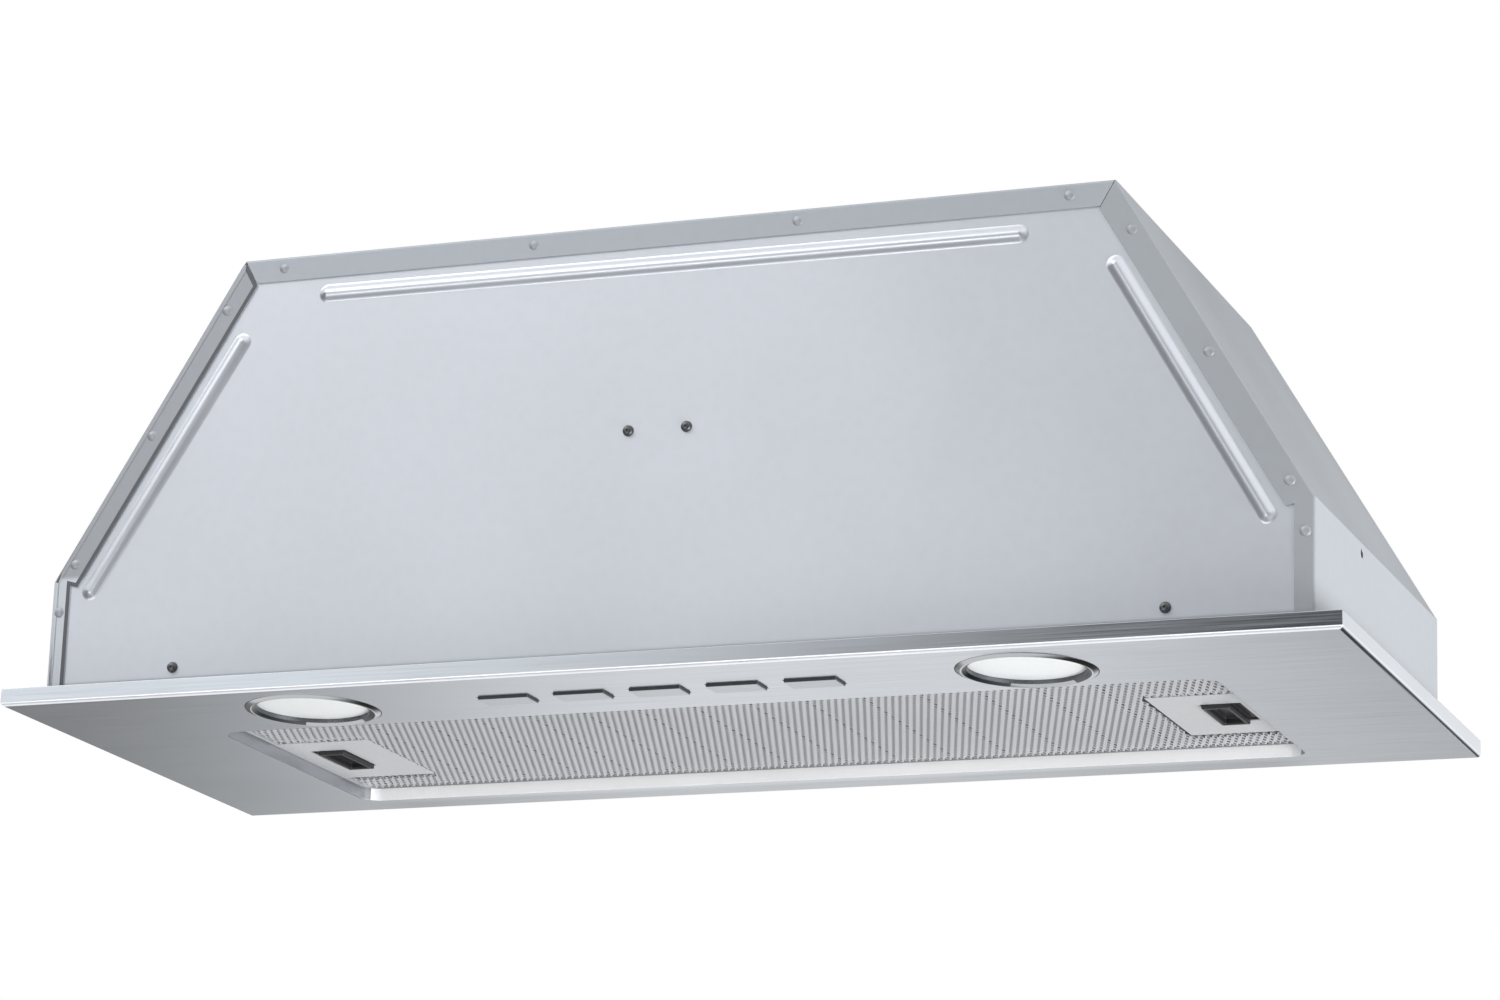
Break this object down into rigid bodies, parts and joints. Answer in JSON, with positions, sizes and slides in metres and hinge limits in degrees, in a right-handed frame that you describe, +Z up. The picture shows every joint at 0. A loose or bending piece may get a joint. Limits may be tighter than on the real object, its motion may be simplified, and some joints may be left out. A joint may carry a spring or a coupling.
{
  "type": "built-in range hood",
  "caption": "Built-in range hood with a tapered sheet-metal casing, brushed cover plate, grease filter with sliding latches, round lamps, push buttons and a top outlet.",
  "frame": {"origin": "below the centre of the cover plate's underside, level with the faces of the push buttons, which are its lowest points", "axes": "+X to the user's right along the plate's length, +Y towards the wall behind, +Z up to the outlet"},
  "size_m": [0.7, 0.28, 0.2612],
  "materials": {
    "brushed_plate": "brushed along the width, satin",
    "galvanised": "galvanised sheet, pale bluish grey, satin",
    "aluminium": "rolled, satin",
    "filter_aluminium": "expanded mesh, bright",
    "fastener_steel": "dark plated",
    "shaft_steel": "ground",
    "motor_paint": "semi-matt black paint",
    "black_plastic": "moulded, matt",
    "latch_plastic": "moulded, matt",
    "grey_plastic": "moulded, satin",
    "white_plastic": "moulded, satin",
    "button_metal": "brushed, satin",
    "bezel_chrome": "polished",
    "lamp_glass": "frosted",
    "bulb_glass": "clear",
    "reflector": "polished inside",
    "ceramic": "unglazed"
  },
  "bodies": {
    "casing": {"bottom_plate": "brushed_plate", "front_panel": "galvanised", "back_panel": "galvanised", "right_side_panel": "galvanised", "left_side_panel": "galvanised", "top_panel": "galvanised", "panel_brackets": "galvanised", "front_rivets": "fastener_steel", "back_rivets": "fastener_steel", "panel_screws": "fastener_steel", "outlet_collar": "black_plastic", "damper_pin": "fastener_steel", "cable_gland": "black_plastic", "scroll_band": "galvanised", "scroll_side_right": "galvanised", "scroll_side_left": "galvanised", "motor_body": "motor_paint", "motor_end_cap": "aluminium", "motor_bracket": "galvanised", "capacitor": "white_plastic", "blower_bracket": "galvanised", "lamp_bezels": "bezel_chrome", "lamp_glasses": "lamp_glass", "lamp_reflectors": "reflector", "lamp_bulbs": "bulb_glass", "lamp_holders": "ceramic", "terminal_box": "white_plastic", "terminal_box_lid": "white_plastic", "lamp_transformer": "black_plastic", "switch_bank": "black_plastic"},
    "rotor": {"impeller": "grey_plastic", "motor_shaft": "shaft_steel"},
    "damper_back": {"damper_flap_back": "grey_plastic"},
    "damper_front": {"damper_flap_front": "grey_plastic"},
    "filter": {"filter_tray": "filter_aluminium", "filter_pad": "filter_aluminium", "filter_back": "filter_aluminium", "latch_plate_left": "aluminium", "latch_plate_right": "aluminium", "latch_spring_left": "shaft_steel", "latch_spring_right": "shaft_steel"},
    "latch_left": {"latch_left": "latch_plastic"},
    "latch_right": {"latch_right": "latch_plastic"},
    "button_1": {"button_1": "button_metal"},
    "button_2": {"button_2": "button_metal"},
    "button_3": {"button_3": "button_metal"},
    "button_4": {"button_4": "button_metal"},
    "button_5": {"button_5": "button_metal"}
  },
  "joints": [
    {"name": "rotor_spin", "type": "hinge", "parent": "casing", "child": "rotor", "pos_m": [0, -0.03, 0.1267], "axis": [1, 0, 0], "continuous": true},
    {"name": "damper_back_swing", "type": "hinge", "parent": "casing", "child": "damper_back", "pos_m": [0, 0.03, 0.2432], "axis": [1, 0, 0], "range_deg": [0, 75]},
    {"name": "damper_front_swing", "type": "hinge", "parent": "casing", "child": "damper_front", "pos_m": [0, 0.03, 0.2432], "axis": [-1, 0, 0], "range_deg": [0, 75]},
    {"name": "filter_drop", "type": "slide", "parent": "casing", "child": "filter", "axis": [0, 0, -1], "range_m": [0, 0.08]},
    {"name": "latch_left_slide", "type": "slide", "parent": "filter", "child": "latch_left", "axis": [-1, 0, 0], "range_m": [0, 0.0045], "stiffness_N_per_m": 150, "springref_m": 0.008},
    {"name": "latch_right_slide", "type": "slide", "parent": "filter", "child": "latch_right", "axis": [1, 0, 0], "range_m": [0, 0.0045], "stiffness_N_per_m": 150, "springref_m": 0.008},
    {"name": "button_1_press", "type": "slide", "parent": "casing", "child": "button_1", "axis": [0, 0, 1], "range_m": [0, 0.0025], "stiffness_N_per_m": 600, "springref_m": -0.001},
    {"name": "button_2_press", "type": "slide", "parent": "casing", "child": "button_2", "axis": [0, 0, 1], "range_m": [0, 0.0025], "stiffness_N_per_m": 600, "springref_m": -0.001},
    {"name": "button_3_press", "type": "slide", "parent": "casing", "child": "button_3", "axis": [0, 0, 1], "range_m": [0, 0.0025], "stiffness_N_per_m": 600, "springref_m": -0.001},
    {"name": "button_4_press", "type": "slide", "parent": "casing", "child": "button_4", "axis": [0, 0, 1], "range_m": [0, 0.0025], "stiffness_N_per_m": 600, "springref_m": -0.001},
    {"name": "button_5_press", "type": "slide", "parent": "casing", "child": "button_5", "axis": [0, 0, 1], "range_m": [0, 0.0025], "stiffness_N_per_m": 600, "springref_m": -0.001}
  ]
}
